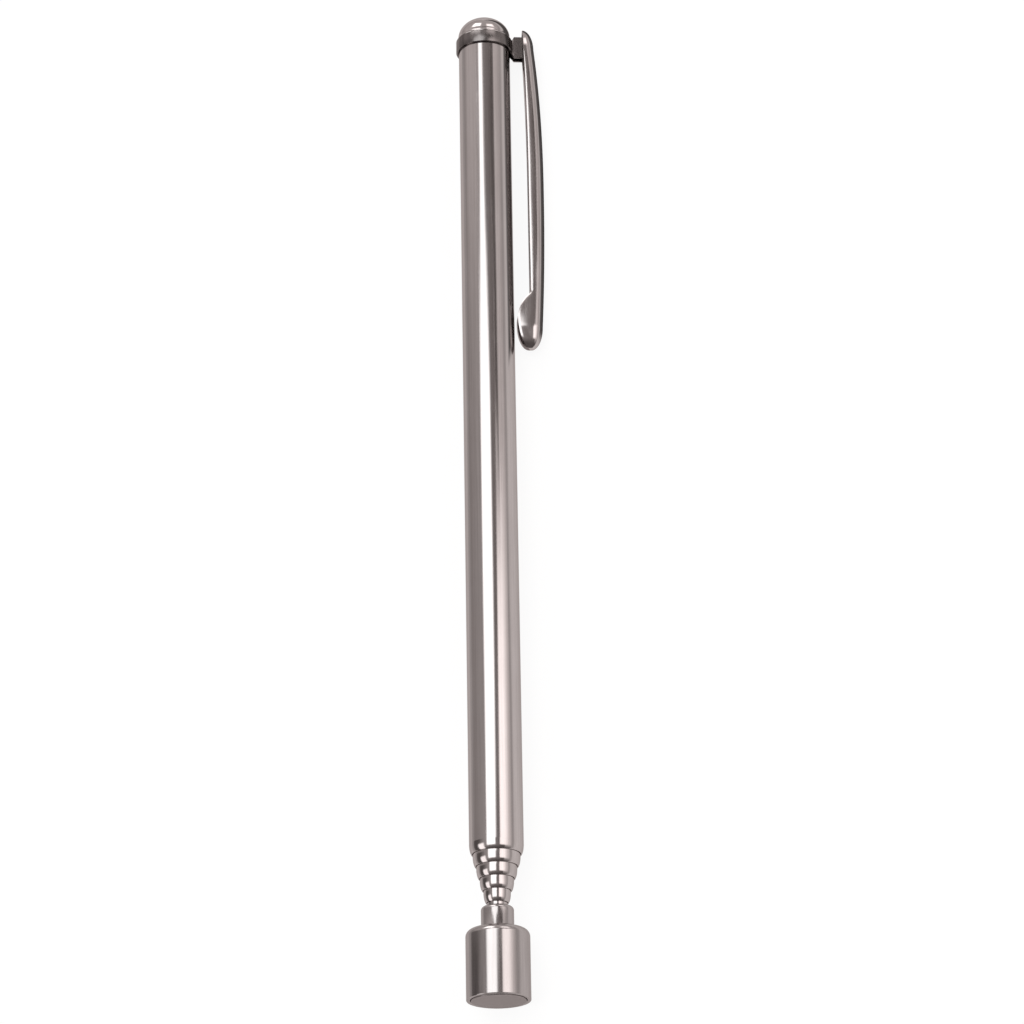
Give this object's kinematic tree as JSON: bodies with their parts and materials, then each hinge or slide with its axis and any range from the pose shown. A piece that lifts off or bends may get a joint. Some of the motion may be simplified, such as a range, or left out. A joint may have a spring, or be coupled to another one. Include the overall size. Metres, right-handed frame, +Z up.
{
  "type": "magnetic pickup tool",
  "caption": "Pen-shaped telescopic pickup tool: chromed tubes draw out of a barrel with a pocket clip and cap, and carry a magnet in a wider round head.",
  "frame": {"origin": "centre of the magnet's working face", "axes": "+Y runs along the tool from the magnet's face to the cap; +Z is up from the surface that the closed tool lies on, with its clip toward +X and resting on that surface"},
  "size_m": [0.011, 0.1347, 0.008],
  "materials": {
    "chromed_tube": "bright nickel-chrome plate on drawn brass tube, fine lengthwise draw lines",
    "chrome": "bright nickel-chrome plate, polished",
    "clip_steel": "chrome plate on pressed spring steel",
    "phosphor_bronze": "bare phosphor bronze, burnished where it rubs",
    "magnet_plating": "satin nickel plate on a sintered magnet",
    "mild_steel": "plain turned steel"
  },
  "bodies": {
    "barrel": {"outer_tube": "chromed_tube", "end_cap": "chrome", "clip_collar": "chrome"},
    "clip": {"clip_blade": "clip_steel"},
    "grip_1": {"grip_shell_1_a": "phosphor_bronze", "grip_shell_1_b": "phosphor_bronze"},
    "stage_1": {"section_1": "chromed_tube"},
    "grip_2": {"grip_shell_2_a": "phosphor_bronze", "grip_shell_2_b": "phosphor_bronze"},
    "stage_2": {"section_2": "chromed_tube"},
    "grip_3": {"grip_shell_3_a": "phosphor_bronze", "grip_shell_3_b": "phosphor_bronze"},
    "stage_3": {"section_3": "chromed_tube"},
    "grip_4": {"grip_shell_4_a": "phosphor_bronze", "grip_shell_4_b": "phosphor_bronze"},
    "stage_4": {"section_4": "chromed_tube"},
    "grip_5": {"grip_shell_5_a": "phosphor_bronze", "grip_shell_5_b": "phosphor_bronze"},
    "stage_5": {"section_5": "chromed_tube", "magnet_housing": "chrome", "magnet": "magnet_plating", "backing_disc": "mild_steel"}
  },
  "joints": [
    {"name": "clip_flex", "type": "hinge", "parent": "barrel", "child": "clip", "pos_m": [0.00472, 0.13049, -0.00218], "axis": [0.4194, 0, 0.9078], "range_deg": [0, 4], "stiffness_Nm_per_rad": 2.4},
    {"name": "section_1_slide", "type": "slide", "parent": "barrel", "child": "grip_1", "axis": [0, -1, 0], "range_m": [0, 0.0991]},
    {"name": "section_1_spin", "type": "hinge", "parent": "grip_1", "child": "stage_1", "pos_m": [0, 0.1228, 0], "axis": [0, 1, 0], "continuous": true},
    {"name": "section_2_slide", "type": "slide", "parent": "stage_1", "child": "grip_2", "axis": [0, -1, 0], "range_m": [0, 0.1006]},
    {"name": "section_2_spin", "type": "hinge", "parent": "grip_2", "child": "stage_2", "pos_m": [0, 0.1228, 0], "axis": [0, 1, 0], "continuous": true},
    {"name": "section_3_slide", "type": "slide", "parent": "stage_2", "child": "grip_3", "axis": [0, -1, 0], "range_m": [0, 0.1022]},
    {"name": "section_3_spin", "type": "hinge", "parent": "grip_3", "child": "stage_3", "pos_m": [0, 0.1228, 0], "axis": [0, 1, 0], "continuous": true},
    {"name": "section_4_slide", "type": "slide", "parent": "stage_3", "child": "grip_4", "axis": [0, -1, 0], "range_m": [0, 0.1037]},
    {"name": "section_4_spin", "type": "hinge", "parent": "grip_4", "child": "stage_4", "pos_m": [0, 0.1228, 0], "axis": [0, 1, 0], "continuous": true},
    {"name": "section_5_slide", "type": "slide", "parent": "stage_4", "child": "grip_5", "axis": [0, -1, 0], "range_m": [0, 0.1053]},
    {"name": "section_5_spin", "type": "hinge", "parent": "grip_5", "child": "stage_5", "pos_m": [0, 0.1228, 0], "axis": [0, 1, 0], "continuous": true}
  ]
}
